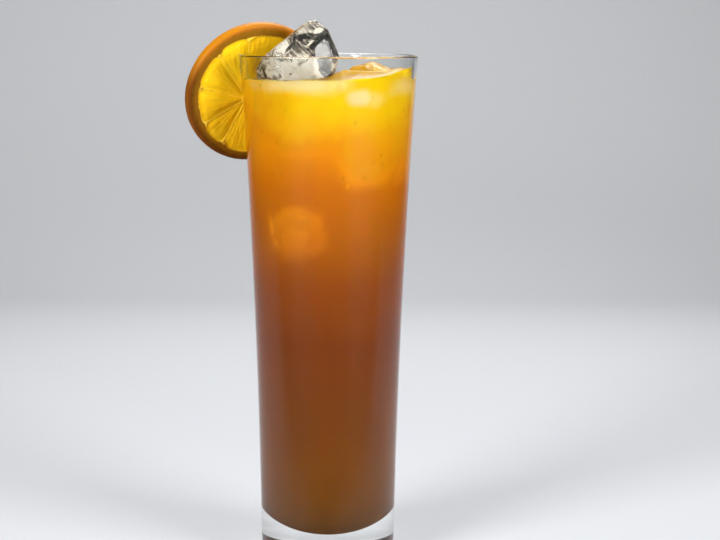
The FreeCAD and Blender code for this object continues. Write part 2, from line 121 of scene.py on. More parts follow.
# Painted light on the drink at the front of the wall: a glow and small highlights where ice lies behind
# the wall, cream froth, and a painted highlight below the lump. Each has middle (x, z) and half size
# (x, z) in millimetres, turn in degrees, softness of the edge, and shares of pale and of cream
LIT_PLACES = (
    ((6.0, 167.5), (28.0, 16.0), 0.0, 0.65, 0.40, 0.0),
    ((-9.0, 161.5), (12.0, 10.0), 0.0, 0.80, 0.36, 0.0),
    ((22.0, 156.0), (9.0, 16.0), 0.0, 0.90, 0.26, 0.0),
    ((-8.2, 174.4), (15.0, 3.0), 0.0, 0.75, 0.0, 0.78),
    ((-3.0, 172.8), (9.0, 2.6), 3.0, 0.95, 0.0, 0.35),
    ((25.5, 173.3), (4.6, 3.2), 0.0, 0.85, 0.0, 0.45),
    ((10.6, 169.8), (4.4, 2.8), -6.0, 0.55, 0.0, 0.90),
    ((14.6, 169.4), (4.4, 2.6), 8.0, 0.80, 0.0, 0.40),
    ((13.0, 151.0), (10.4, 13.4), 4.0, 0.35, 0.30, 0.0),
    ((14.0, 144.0), (7.6, 5.0), -4.0, 0.80, 0.38, 0.0),
    ((-10.8, 122.6), (10.6, 9.4), -6.0, 0.30, 0.33, 0.0),
    ((-11.5, 120.6), (8.6, 7.8), 6.0, 0.70, 0.42, 0.0),
    ((-19.6, 123.6), (1.3, 5.4), -8.0, 0.95, 0.50, 0.0),
    ((-18.4, 118.6), (1.2, 2.6), -30.0, 0.80, 0.44, 0.0),
    ((-9.0, 128.2), (3.0, 0.7), -4.0, 0.85, 0.44, 0.0),
    ((6.5, 139.0), (0.6, 0.7), 0.0, 0.60, 0.6, 0.0),
)

# Ice wholly in the drink: name, middle (x, y, z) and half size (x, y, z) in millimetres, and turn
# about the Y axis in degrees
SUNK_ICE = (
    ("sunk_ice_right", (14.5, -13.5, 150.0), (9.0, 9.5, 11.5), 4.0),
    ("sunk_ice_left", (-10.5, -14.5, 122.5), (11.0, 9.0, 10.0), -6.0),
)


# ---------------------------------------------------------------- numbers

def smooth_step(low, high, value):
    """0 below low, 1 above high, and 3t^2 - 2t^3 between, with t the share of the way."""
    share = np.clip((value - low) / (high - low), 0.0, 1.0)
    return share * share * (3.0 - 2.0 * share)


def lattice_number(cell, seed):
    """A number from 0 to 1 for each whole-number cell: its coordinates mixed by an integer hash."""
    mixed = cell[..., 0] * 374761393 + cell[..., 1] * 668265263 + cell[..., 2] * 1442695041
    mixed = (mixed + seed * 1274126177) & 0xFFFFFFFF
    mixed = ((mixed ^ (mixed >> 13)) * 1274126177) & 0xFFFFFFFF
    return ((mixed ^ (mixed >> 16)) & 0xFFFF) / 65535.0


def noise(points, cell_size, seed):
    """Value noise from -1 to 1: lattice numbers blended by t^2 (3 - 2t) along each axis."""
    scaled = points / cell_size
    base = np.floor(scaled).astype(np.int64)
    share = scaled - base
    share = share * share * (3.0 - 2.0 * share)
    total = np.zeros(points.shape[:-1])
    for corner in itertools.product((0, 1), repeat=3):
        weight = np.prod(np.where(np.array(corner) == 1, share, 1.0 - share), axis=-1)
        total += weight * lattice_number(base + np.array(corner), seed)
    return 2.0 * total - 1.0


def layered_noise(points, cell_size, seed, layers=3):
    """Noise added up over layers, each half the size and half the height of the one before."""
    return sum(noise(points, cell_size / 2**layer, seed + layer) / 2**layer for layer in range(layers))


def cell_pattern(across, along, seed):
    """Nearest and next nearest distance to one jittered dot per unit square, and the dot's number."""
    flat = np.stack([across, along, np.zeros_like(across)], axis=-1)
    base = np.floor(flat).astype(np.int64)
    nearest = np.full(across.shape, 9.0)
    second = np.full(across.shape, 9.0)
    number = np.zeros(across.shape)
    for step in itertools.product((-1, 0, 1), repeat=2):
        cell = base + np.array([step[0], step[1], 0])
        dot_x = cell[..., 0] + 0.15 + 0.7 * lattice_number(cell, seed)
        dot_y = cell[..., 1] + 0.15 + 0.7 * lattice_number(cell, seed + 1)
        reach = np.hypot(across - dot_x, along - dot_y)
        closer = reach < nearest
        second = np.where(closer, nearest, np.minimum(second, reach))
        number = np.where(closer, lattice_number(cell, seed + 2), number)
        nearest = np.where(closer, reach, nearest)
    return nearest, second, number


def wall_radius(height, inward=0.0):
    """Outside radius of the glass at a height, less inward: the arc through foot, waist and rim."""
    points = [(FOOT_RADIUS, 0.0), (WAIST_RADIUS, WAIST_HEIGHT), (RIM_RADIUS, GLASS_TOP)]
    rows = np.array([[2 * x, 2 * z, 1.0] for x, z in points])
    centre_x, centre_z, rest = np.linalg.solve(rows, np.array([x * x + z * z for x, z in points]))
    flare = math.sqrt(rest + centre_x**2 + centre_z**2)
    return centre_x - np.sqrt(flare**2 - (np.asarray(height) - centre_z) ** 2) - inward


# ---------------------------------------------------------------- meshes

def signed_volume(points, faces):
    """Six times the volume inside faces: the sum of a . (b x c) over the triangles of each face."""
    total = 0.0
    for size in (3, 4):
        rows = np.array([face for face in faces if len(face) == size], dtype=np.int64)
        if len(rows) == 0:
            continue
        for last in range(2, size):
            a, b, c = points[rows[:, 0]], points[rows[:, last - 1]], points[rows[:, last]]
            total += float(np.einsum("ij,ij->", a, np.cross(b, c)))
    return total


def make_mesh(name, points, faces):
    """A closed, smooth-shaded mesh whose faces point outwards."""
    mesh = bpy.data.meshes.new(name)
    mesh.from_pydata(points.tolist(), [], faces)
    if signed_volume(points, faces) < 0:
        mesh.flip_normals()
    mesh.validate()
    mesh.shade_smooth()
    return mesh


def add_piece(name, mesh, material, replaced=()):
    """Put a mesh in the scene as a piece of the part, on its one body."""
    piece = bpy.data.objects.new(name, mesh)
    bpy.context.scene.collection.objects.link(piece)
    mesh.materials.clear()
    mesh.materials.append(material)
    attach(piece, "root")
    if replaced:
        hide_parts(*replaced)


def add_layer(mesh, name, kind, domain, values):
    """An attribute of a mesh, filled from an array of numbers or of colours."""
    layer = mesh.attributes.new(name, kind, domain)
    field = "color" if kind == "FLOAT_COLOR" else "value"
    layer.data.foreach_set(field, values.astype(np.float32).ravel())


def grid_quads(rows, around, shut=False):
    """Quads between rows of points, each row a closed ring; shut joins the last row to the first."""
    ring, step = np.meshgrid(np.arange(rows if shut else rows - 1), np.arange(around), indexing="ij")
    here, there = ring * around, (ring + 1) % rows * around
    after = (step + 1) % around
    return np.stack([here + step, here + after, there + after, there + step], axis=-1).reshape(-1, 4)


def closed_grid(rows):
    """Points and faces of rows of points, each row a closed ring, shut by a pole at both ends.

    rows has the shape (rings, points in a ring, 3). Each pole is the mean of its ring.
    """
    rings, around = rows.shape[:2]
    points = np.concatenate([rows.reshape(-1, 3), rows[:1].mean(axis=1), rows[-1:].mean(axis=1)])
    first, last, base = rings * around, rings * around + 1, (rings - 1) * around
    step = np.arange(around)
    after = (step + 1) % around
    start = np.stack([np.full(around, first), after, step], axis=-1)
    end = np.stack([np.full(around, last), base + step, base + after], axis=-1)
    return points, grid_quads(rings, around).tolist() + start.tolist() + end.tolist()


def turn_profile(radii, heights, around):
    """Rings of points: each profile point (radius, height) carried once round the Z axis."""
    angle = np.linspace(0.0, 2 * np.pi, around, endpoint=False)
    radii, heights = np.asarray(radii)[:, None], np.asarray(heights)[:, None]
    return np.stack([radii * np.cos(angle), radii * np.sin(angle), heights + 0 * angle], axis=-1)


def round_corner(centre, radius, start, end, steps):
    """Profile points on an arc about centre, from angle start to angle end in degrees."""
    angle = np.radians(np.linspace(start, end, steps))
    return centre[0] + radius * np.cos(angle), centre[1] + radius * np.sin(angle)


def ball_grid(rings, around):
    """Directions over a sphere, (sin t cos a, sin t sin a, cos t): rings between the poles."""
    tilt = np.linspace(0.0, np.pi, rings + 2)[1:-1][:, None]
    angle = np.linspace(0.0, 2 * np.pi, around, endpoint=False)[None, :]
    level = np.cos(tilt) + 0 * angle
    return np.stack([np.sin(tilt) * np.cos(angle), np.sin(tilt) * np.sin(angle), level], axis=-1)


def many_balls(centres, radii, rings=5, around=8):
    """One mesh of small closed balls, each with its own centre and radius."""
    points, faces = closed_grid(ball_grid(rings, around))
    quads = np.array([face for face in faces if len(face) == 4])
    fans = np.array([face for face in faces if len(face) == 3])
    shift = np.arange(len(centres)) * len(points)
    everything = (centres[:, None, :] + radii[:, None, None] * points[None]).reshape(-1, 3)
    all_faces = (quads[None] + shift[:, None, None]).reshape(-1, 4).tolist()
    all_faces += (fans[None] + shift[:, None, None]).reshape(-1, 3).tolist()
    return everything, all_faces


def soft_block(half_size, sharpness, rings, around):
    """A block with rounded edges: along direction d its radius is (sum (|d| / h)^p)^(-1/p).

    h are the block's half sizes, and p is the sharpness of its edges.
    """
    directions = ball_grid(rings, around)
    radius = np.sum((np.abs(directions) / half_size) ** sharpness, axis=-1) ** (-1.0 / sharpness)
    return directions * radius[..., None]


def outline_reach(outline, angle):
    """Distance from the middle of a closed outline to its edge, for an array of angles.

    On the side from corner a to corner b, the ray along d meets it at (a x b) / (d x (b - a)).
    """
    corners = np.array(outline)
    turn = np.arctan2(corners[:, 1], corners[:, 0])
    order = np.argsort(turn)
    corners, turn = corners[order], turn[order]
    side = np.searchsorted(turn, angle) % len(turn)
    first, second = corners[side - 1], corners[side]
    along = second - first
    above = first[..., 0] * second[..., 1] - first[..., 1] * second[..., 0]
    below = np.cos(angle) * along[..., 1] - np.sin(angle) * along[..., 0]
    return above / below


def outline_solid(outline, half_size, rings=180, around=360):
    """A solid with a given outline seen along Y, and a boxy oval section from front to back.

    At the angle t in the section its width is |cos t|^(2/3) of the outline's, its depth
    |sin t|^(2/3) of the half depth.
    """
    boxiness = 2 / 3
    tilt = np.linspace(-np.pi / 2, np.pi / 2, rings + 2)[1:-1][:, None]
    angle = np.linspace(-np.pi, np.pi, around, endpoint=False)[None, :]
    wide = np.abs(np.cos(tilt)) ** boxiness
    deep = np.sign(np.sin(tilt)) * np.abs(np.sin(tilt)) ** boxiness
    reach = outline_reach(outline, angle)
    x = half_size[0] * wide * reach * np.cos(angle)
    z = half_size[2] * wide * reach * np.sin(angle)
    return np.stack([x, half_size[1] * deep + 0 * x, z], axis=-1)


def chip(points, count, depth, seed):
    """Flat facets: points beyond each of count planes are laid on it; returns them and their last plane.

    Each plane has a random direction, more to the front or back than to a side, and lies at a
    share of the solid's reach along it, which is drawn between depth and 1.
    """
    draw, towards = np.random.default_rng(seed), np.array([0.4, 1.2, 0.4])
    facet = np.zeros(points.shape[:-1], dtype=np.int64)
    for number in range(1, count + 1):
        normal = draw.normal(size=3) * towards
        normal /= np.linalg.norm(normal)
        height = points @ normal
        level = height.max() * (depth + (1 - depth) * draw.random())
        facet = np.where(height > level, number, facet)
        points = points - np.clip(height - level, 0, None)[..., None] * normal
    return points, facet


def fit_to_box(points, low, high):
    """Stretch points so that they fill a box exactly."""
    lowest, highest = points.reshape(-1, 3).min(axis=0), points.reshape(-1, 3).max(axis=0)
    return low + (points - lowest) / (highest - lowest) * (high - low)


# ---------------------------------------------------------------- materials

def linear(red, green, blue):
    """A screen colour in steps of 0 to 255 as the linear colour that shaders take."""
    values = np.array([red, green, blue]) / 255.0
    flat = np.where(values <= 0.04045, values / 12.92, ((values + 0.055) / 1.055) ** 2.4)
    return tuple(float(value) for value in flat)


def start_material(name):
    """A new material with its node tree and its principled shader."""
    material = bpy.data.materials.new(name)
    material.use_nodes = True
    shader = material.node_tree.nodes["Principled BSDF"]
    return material, material.node_tree, shader


def set_sockets(node, **values):
    """Fill in a node's sockets by name, with an underscore for each space."""
    for key, value in values.items():
        node.inputs[key.replace("_", " ")].default_value = value


def add_node(tree, kind, **settings):
    """A node with its own settings or its sockets (by name) filled in."""
    node = tree.nodes.new(kind)
    for key, value in settings.items():
        if hasattr(node, key):
            setattr(node, key, value)
        else:
            set_sockets(node, **{key: value})
    return node


def calculate(tree, operation, *values):
    """The result of a math node, each of whose inputs is a socket or a number."""
    node = add_node(tree, "ShaderNodeMath", operation=operation)
    for socket, value in zip(node.inputs, values):
        if isinstance(value, bpy.types.NodeSocket):
            tree.links.new(value, socket)
        else:
            socket.default_value = value
    return node.outputs[0]


def map_range(tree, source, **settings):
    """The result of a map range node fed by source."""
    node = add_node(tree, "ShaderNodeMapRange", **settings)
    tree.links.new(source, node.inputs["Value"])
    return node.outputs["Result"]


def object_axes(tree):
    """The outputs X, Y and Z of the Object coordinates."""
    place = tree.nodes.new("ShaderNodeTexCoord")
    split = tree.nodes.new("ShaderNodeSeparateXYZ")
    tree.links.new(place.outputs["Object"], split.inputs["Vector"])
    return split.outputs


def split_attribute(tree, name):
    """A colour attribute's node and its outputs Red, Green and Blue."""
    source = add_node(tree, "ShaderNodeAttribute", attribute_name=name)
    split = tree.nodes.new("ShaderNodeSeparateColor")
    tree.links.new(source.outputs["Color"], split.inputs["Color"])
    return source, split.outputs


def colour_ramp(tree, source, stops):
    """A colour ramp fed by source, with stops of (place, colour)."""
    ramp = tree.nodes.new("ShaderNodeValToRGB")
    ramp.color_ramp.elements.remove(ramp.color_ramp.elements[1])
    for number, (place, shade) in enumerate(stops):
        element = ramp.color_ramp.elements[0] if number == 0 else ramp.color_ramp.elements.new(place)
        element.position = place
        element.color = (*shade, 1.0)
    tree.links.new(source, ramp.inputs["Fac"])
    return ramp.outputs["Color"]


def blend_colour(tree, share, first, second, kind="MIX"):
    """Mix two colours, each a socket or a colour, by share, a socket or a number."""
    mix = tree.nodes.new("ShaderNodeMix")
    mix.data_type = "RGBA"
    mix.blend_type = kind
    for socket, value in ((mix.inputs[0], share), (mix.inputs[6], first), (mix.inputs[7], second)):
        if isinstance(value, bpy.types.NodeSocket):
            tree.links.new(value, socket)
        elif isinstance(value, (int, float)):
            socket.default_value = value
        else:
            socket.default_value = (*value, 1.0)
    return mix.outputs[2]


def add_bump(tree, shader, height, strength, distance):
    """Bump from a height socket into the shader's normal."""
    bump = add_node(tree, "ShaderNodeBump", Strength=strength, Distance=distance)
    tree.links.new(height, bump.inputs["Height"])
    tree.links.new(bump.outputs["Normal"], shader.inputs["Normal"])
    return bump


def object_noise(tree, scale, detail=3.0):
    """Noise over Object coordinates, scale in features per metre."""
    place = tree.nodes.new("ShaderNodeTexCoord")
    texture = add_node(tree, "ShaderNodeTexNoise", Scale=scale, Detail=detail)
    tree.links.new(place.outputs["Object"], texture.inputs["Vector"])
    return texture


def glass_material(colours):
    """Clear polished glass with the faintest waviness."""
    material, tree, shader = start_material("clear_glass")
    set_sockets(shader, Base_Color=(*colours.glass_tint, 1.0), Transmission_Weight=1.0,
                IOR=1.47, Roughness=0.0)
    add_bump(tree, shader, object_noise(tree, 45.0, 1.0).outputs["Fac"], 0.05, 0.2 * MM)
    return material


RAMP_REACH = 1.25        # the drink's colours run on to this many times its level, for lit places
LEVEL_SWAY = 5.0 * MM    # how far the levels of the drink's colours drift up and down
LIT_RAISE = 0.25         # how far up the colours a wholly lit place is taken


def drink_material(colours, name, gloss, tint=(1.0, 1.0, 1.0)):
    """Cloudy juice with painted light: a yellow glow near the surface, darkening to amber below,
    and a painted glow where ice lies close to the wall.

    A lit place takes the colour of a higher level: its share is added to the height in the ramp.
    The tint multiplies the whole for the surface: a painted shade, since the surface takes more light than
    the side.
    """
    material, tree, shader = start_material(name)
    drift = object_noise(tree, 38.0, 2.0).outputs["Fac"]
    swayed = calculate(tree, "MULTIPLY_ADD", drift, 2 * LEVEL_SWAY, object_axes(tree)["Z"])
    level = calculate(tree, "SUBTRACT", swayed, LEVEL_SWAY)
    height = map_range(tree, level, From_Min=0.0, From_Max=RAMP_REACH * DRINK_LEVEL)
    _, share = split_attribute(tree, "lights")
    raised = calculate(tree, "MULTIPLY_ADD", share["Red"], LIT_RAISE, height)
    # Painted light: the colours glow yellow near the surface and darken to brown towards the bottom
    levels = (
        (0.08, colours.drink_floor_colour), (0.20, colours.drink_deep_colour),
        (0.47, colours.drink_low_colour), (0.59, colours.drink_brown_colour),
        (0.67, colours.drink_amber_colour), (0.79, colours.drink_tan_colour),
        (0.875, colours.drink_orange_colour), (0.93, colours.drink_yellow_colour),
        (0.97, colours.drink_bright_colour), (1.08, colours.drink_pale_colour),
    )
    ramp = colour_ramp(tree, raised, [(level / RAMP_REACH, shade) for level, shade in levels])
    creamy = blend_colour(tree, share["Green"], ramp, colours.drink_cream_colour)
    marked = blend_colour(tree, share["Blue"], creamy, colours.drink_deep_colour)
    toned = blend_colour(tree, 1.0, marked, tint, "MULTIPLY")
    tree.links.new(toned, shader.inputs["Base Color"])
    set_sockets(shader, Roughness=0.3, Specular_IOR_Level=gloss, Subsurface_Weight=0.3,
                Subsurface_Radius=(1.0, 0.5, 0.1), Subsurface_Scale=3.0 * MM)
    add_bump(tree, shader, object_noise(tree, 900.0, 2.0).outputs["Fac"], 0.08, 0.1 * MM)
    return material


def citrus_material(colours):
    """Cut citrus, painted by two attributes.

    Of the marks, red is the share of pulp, green the nearness to a juice sac's wall, blue the
    sac's tone with painted light and shade across each segment, and alpha how lighted the rind is:
    painted shade on its lower side. The skin runs from 0 at the pulp to 1 at the peel.
    """
    material, tree, shader = start_material("cut_citrus")
    marks, share = split_attribute(tree, "marks")
    skin = add_node(tree, "ShaderNodeAttribute", attribute_name="skin")
    grain = object_noise(tree, 1400.0, 3.0)
    sac = blend_colour(tree, share["Blue"], colours.pulp_deep_colour, colours.pulp_colour)
    veined = blend_colour(tree, share["Green"], sac, colours.membrane_colour)
    # The pith's colour in this ramp is a painted shade
    peel = colour_ramp(tree, skin.outputs["Fac"], [
        (0.00, colours.membrane_colour), (0.10, colours.shaded_pith_colour), (0.50, colours.shaded_pith_colour),
        (0.80, colours.rind_colour), (1.00, colours.peel_colour),
    ])
    shade = blend_colour(tree, marks.outputs["Alpha"], colours.rind_shade, (1.0, 1.0, 1.0))
    shaded = blend_colour(tree, 1.0, peel, shade, "MULTIPLY")
    whole = blend_colour(tree, share["Red"], shaded, veined)
    speckled = blend_colour(tree, 0.12, whole, grain.outputs["Color"], "SOFT_LIGHT")
    tree.links.new(speckled, shader.inputs["Base Color"])
    set_sockets(shader, Subsurface_Weight=0.35, Subsurface_Radius=(0.8, 0.55, 0.15),
                Subsurface_Scale=1.2 * MM, Specular_IOR_Level=0.12, Coat_Weight=0.04, Coat_Roughness=0.2)
    tree.links.new(map_range(tree, share["Red"], To_Min=0.55, To_Max=0.25), shader.inputs["Roughness"])
    add_bump(tree, shader, grain.outputs["Fac"], 0.25, 0.12 * MM)
    return material


def ice_material(colours):
    """Clear wet ice with frosted patches."""
    material, tree, shader = start_material("clear_ice")
    set_sockets(shader, Base_Color=(*colours.ice_tint, 1.0), IOR=1.31, Transmission_Weight=1.0)
    frost = object_noise(tree, 120.0, 4.0).outputs["Fac"]
    rough = map_range(tree, frost, From_Min=0.55, From_Max=0.72, To_Min=0.0, To_Max=0.35)
    tree.links.new(rough, shader.inputs["Roughness"])
    add_bump(tree, shader, object_noise(tree, 260.0, 3.0).outputs["Fac"], 0.35, 0.5 * MM)
    return material


def frosted_material(colours):
    """Cracked, air-filled ice: dark to white by the frost attribute, with painted see-through darkness
    and highlights, broken by fine slanting streaks.
    """
    material, tree, shader = start_material("frosted_ice")
    tone = add_node(tree, "ShaderNodeAttribute", attribute_name="frost")
    place = tree.nodes.new("ShaderNodeTexCoord")
    slant = add_node(tree, "ShaderNodeMapping", vector_type="TEXTURE",
                     Rotation=(0.0, math.radians(-FROST_SLANT), 0.0), Scale=(2.6 * MM, 1.4 * MM, 0.5 * MM))
    streak = add_node(tree, "ShaderNodeTexNoise", Scale=1.0, Detail=5.0)
    tree.links.new(place.outputs["Object"], slant.inputs["Vector"])
    tree.links.new(slant.outputs["Vector"], streak.inputs["Vector"])
    centred = calculate(tree, "SUBTRACT", streak.outputs["Fac"], 0.5)
    broken = calculate(tree, "MULTIPLY_ADD", centred, 1.4, tone.outputs["Fac"])
    ramp = colour_ramp(tree, broken, [
        (0.00, colours.dark_seam_and_reflection_colour), (0.40, colours.frost_grey_colour),
        (0.66, colours.frost_pale_colour), (0.92, colours.frost_white_colour),
    ])
    tree.links.new(ramp, shader.inputs["Base Color"])
    set_sockets(shader, Roughness=0.15, Specular_IOR_Level=0.25, Coat_Weight=0.25, Coat_Roughness=0.1)
    add_bump(tree, shader, streak.outputs["Fac"], 0.6, 0.4 * MM)
    return material


def plain_material(name, base, roughness, **sockets):
    """A principled material of one finish, broken up by a fine noise in its colour and bump."""
    material, tree, shader = start_material(name)
    grain = object_noise(tree, 600.0, 3.0)
    speckled = blend_colour(tree, 0.15, base, grain.outputs["Color"], "SOFT_LIGHT")
    tree.links.new(speckled, shader.inputs["Base Color"])
    set_sockets(shader, Roughness=roughness, **sockets)
    add_bump(tree, shader, grain.outputs["Fac"], 0.15, 0.1 * MM)
    return material


# Where each share of the paper's colours begins and where it is whole, in metres: the grey just in
# front of the glass, the end of that grey farther out, the grey at both sides, and the backdrop
# The greys are painted shade, so that the glass reflects a dimmer floor in front and at its sides
GREY_FRONT = (-0.02, -0.13)
GREY_END = (-0.45, -1.10)
GREY_SIDES = (0.42, 0.80)
BACKDROP = (0.15, 0.75)


def paper_material(colours):
    """Matt paper: pale under the glass and behind it, and greyer just in front and far out to both
    sides, a painted shade for the glass to reflect.

    The greyer share is the larger of two: a smooth step over Object Y less a second one farther out,
    and a smooth step over |X|.
    """
    material, tree, shader = start_material("pale_paper")
    axes = object_axes(tree)
    front, end, sides, behind = (
        map_range(tree, source, interpolation_type="SMOOTHSTEP", From_Min=near, From_Max=far)
        for source, (near, far) in (
            (axes["Y"], GREY_FRONT), (axes["Y"], GREY_END),
            (calculate(tree, "ABSOLUTE", axes["X"]), GREY_SIDES), (axes["Y"], BACKDROP),
        )
    )
    grey = calculate(tree, "MAXIMUM", calculate(tree, "SUBTRACT", front, end), sides)
    pale = blend_colour(tree, behind, colours.floor_colour, colours.backdrop_colour)
    shade = blend_colour(tree, grey, pale, colours.floor_shade_colour)
    tree.links.new(shade, shader.inputs["Base Color"])
    set_sockets(shader, Roughness=0.8, Specular_IOR_Level=0.2)
    return material


# ---------------------------------------------------------------- settings

def length(name, description, default):
    """A length that a user may change."""
    return FloatProperty(name=name, description=description, default=default,
                         unit="LENGTH", subtype="DISTANCE")


def bearing(name, description, degrees):
    """An angle that a user may change."""
    return FloatProperty(name=name, description=description, default=math.radians(degrees),
                         subtype="ANGLE")


def colour(name, description, default):
    """A colour that a user may change."""
    return FloatVectorProperty(name=name, description=description, default=default,
                               subtype="COLOR", min=0, max=1)


class TonicGlassSizes(bpy.types.PropertyGroup):
    """Sizes of the glass and of what hangs on it."""
    wall: length("Wall", "Thickness of the glass's wall", 1.6 * MM)
    base: length("Base", "Foot ring to the lowest point inside", 9.4 * MM)
    heel: length("Heel", "Round between wall and foot", 2.5 * MM)
    corner: length("Corner", "Round between wall and floor inside, which makes a bowl", 22.6 * MM)
    punt_radius: length("Punt radius", "Radius of the hollow under the base", 18.0 * MM)
    punt_depth: length("Punt depth", "Depth of the hollow under the base", 1.5 * MM)
    soak: length("Soak", "How far the drink reaches into the wall", 0.25 * MM)
    meniscus: length("Meniscus", "Rise of the drink's edge at the wall", 0.9 * MM)
    wheel_radius: length("Wheel radius", "Outside of the rind", 26.7 * MM)
    wheel_thickness: length("Wheel thickness", "Cut face to cut face", 4.2 * MM)
    wheel_inset: length("Wheel inset", "Wall's middle to the wheel's centre", 4.2 * MM)
    wheel_drop: length("Wheel drop", "Lip down to the wheel's centre", 13.6 * MM)
    wheel_turn: bearing("Wheel turn", "Turn of its face about Z", 24.0)
    wheel_lean: bearing("Wheel lean", "Lean of its top to the front", 20.0)
    rind: length("Rind", "Rind and pith together", 4.7 * MM)
    core_out: length("Core out", "Core off the wheel's centre, away from the glass", 3.4 * MM)
    core_down: length("Core down", "Core below the wheel's centre", 1.9 * MM)
    core_radius: length("Core", "Pith at the middle", 1.3 * MM)
    first_membrane: bearing("First wall", "Turn of the first wall between segments", 11.0)
    segments: IntProperty(name="Segments", description="Segments in the wheel", default=9)
    slit_play: length("Slit play", "Play of the wall in the slit", 0.15 * MM)


class TonicColours(bpy.types.PropertyGroup):
    """Colours of the glass, the drink, the citrus and the ice."""
    # Painted dark surroundings seen through clear ice, and dark seams
    dark_seam_and_reflection_colour: colour("Dark frost", "Clearest places of the cracked ice", linear(38, 37, 38))
    frost_grey_colour: colour("Grey frost", "Shaded facets of the cracked ice", linear(124, 117, 108))
    frost_pale_colour: colour("Pale frost", "Frosted facets", linear(204, 197, 184))
    frost_white_colour: colour("White frost", "Air-filled places", linear(250, 247, 240))
    glass_tint: colour("Glass", "Tint of the glass", (0.985, 0.995, 0.99))
    ice_tint: colour("Ice", "Tint of the ice", (0.985, 0.965, 0.88))
    # Froth, and a painted highlight on the drink below the lump
    drink_cream_colour: colour("Cream", "Froth under the surface", linear(254, 234, 176))
    # The drink's colours from top to bottom: a painted glow under the surface, darkening to brown towards the
    # bottom
    drink_bright_colour: colour("Bright", "Just under the froth", linear(240, 172, 14))
    drink_yellow_colour: colour("Yellow", "Upper part of the drink", linear(234, 160, 10))
    drink_orange_colour: colour("Orange", "Level with the sunk ice", linear(238, 156, 8))
    drink_tan_colour: colour("Tan", "Below the upper ice", linear(209, 121, 5))
    drink_amber_colour: colour("Amber", "Middle of the drink", linear(182, 101, 3))
    drink_brown_colour: colour("Brown", "Below the middle", linear(156, 76, 3))
    drink_low_colour: colour("Low", "Lower part of the drink", linear(134, 62, 3))
    drink_deep_colour: colour("Deep", "Near the bottom", linear(128, 70, 2))
    drink_floor_colour: colour("Floor", "Bottom of the drink", linear(116, 68, 2))
    # Painted glow where ice lies behind the wall
    drink_pale_colour: colour("Pale", "Where ice lies behind the wall", linear(255, 214, 16))
    # Painted shade: darkens the drink's top, which takes more light than its side
    surface_shade: colour("Surface tint", "Multiplies the drink's colours on its surface", (0.76, 0.58, 0.24))
    lump_colour: colour("Lump", "Skin of juice over the floating lump", linear(208, 150, 10))
    lump_froth_colour: colour("Lump froth", "Streaks of froth on the lump", linear(224, 180, 56))
    sunk_ice_colour: colour("Sunk ice", "Ice wholly in the drink", linear(255, 214, 120))
    froth_colour: colour("Froth", "Bubbles at the drink's edge", linear(255, 226, 120))
    rind_colour: colour("Rind", "Outer rind at the cut", linear(166, 98, 8))
    peel_colour: colour("Peel", "Skin of the fruit", linear(196, 124, 8))
    # Painted shade: multiplies the rind and pith on the wheel's lower side, away from the light
    rind_shade: colour("Rind shade", "Multiplies the rind where it is less ripe", (0.36, 0.30, 0.30))
    # Painted shade: the pith has the dull brown it shows in shadow, not its own pale colour
    shaded_pith_colour: colour("Pith", "Pith between rind and pulp", linear(132, 88, 8))
    pulp_colour: colour("Pulp", "Juice sacs", linear(250, 206, 26))
    pulp_deep_colour: colour("Deep pulp", "Darker juice sacs", linear(200, 146, 6))
    membrane_colour: colour("Membrane", "Walls between segments", linear(244, 204, 60))
    floor_colour: colour("Table", "Plain pale floor under the glass", linear(200, 202, 206))
    backdrop_colour: colour("Backdrop", "Plain pale sweep behind", linear(236, 238, 241))
    # Painted shade of the floor in front and far out to the sides
    floor_shade_colour: colour("Table far", "Floor in front and far out to the sides", linear(112, 114, 118))


# ---------------------------------------------------------------- pieces

def glass_profile(sizes):
    """Half section of the glass from the middle of its punt, round the foot, wall and lip, to its floor.

    The punt is part of a sphere of radius (r^2 + d^2) / 2d, with r its radius and d its depth.
    """
    wall, lip, floor_top = sizes.wall, LIP_SHARE * sizes.wall, sizes.base + sizes.corner
    sphere = (sizes.punt_radius**2 + sizes.punt_depth**2) / (2 * sizes.punt_depth)
    punt_x = np.linspace(AXIS_GAP, sizes.punt_radius, 14)
    punt_z = np.sqrt(sphere**2 - punt_x**2) - (sphere - sizes.punt_depth)
    heel_x, heel_z = round_corner((FOOT_RADIUS - sizes.heel, sizes.heel), sizes.heel, -90, 0, 12)
    outer_z = np.linspace(sizes.heel, GLASS_TOP - lip, 60)[1:]
    lip_x, lip_z = round_corner((RIM_RADIUS - lip, GLASS_TOP - lip), lip, 0, 180, 14)
    lip_x = lip_x - (wall - 2 * lip) * np.linspace(0, 1, len(lip_x))
    inner_z = np.linspace(GLASS_TOP - lip, floor_top, 60)[1:]
    middle = float(wall_radius(floor_top, wall)) - sizes.corner
    corner_x, corner_z = round_corner((middle, floor_top), sizes.corner, 0, -90, 40)
    floor_x = np.linspace(middle, AXIS_GAP, 8)[1:]
    floor_z = np.full(len(floor_x), sizes.base)
    radii = [punt_x, heel_x, wall_radius(outer_z), lip_x[1:], wall_radius(inner_z, wall),
             corner_x[1:], floor_x]
    heights = [punt_z, heel_z, outer_z, lip_z[1:], inner_z, corner_z[1:], floor_z]
    return np.concatenate(radii), np.concatenate(heights)


def ice_distance(points, node):
    """Roughly how far points are from a piece of ice: from the ellipsoid that fills its box."""
    low, high = (np.array(corner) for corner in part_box(node))
    half = (high - low) / 2
    reach = np.linalg.norm((points - (low + high) / 2) / half, axis=-1)
    return (reach - 1.0) * half.min()


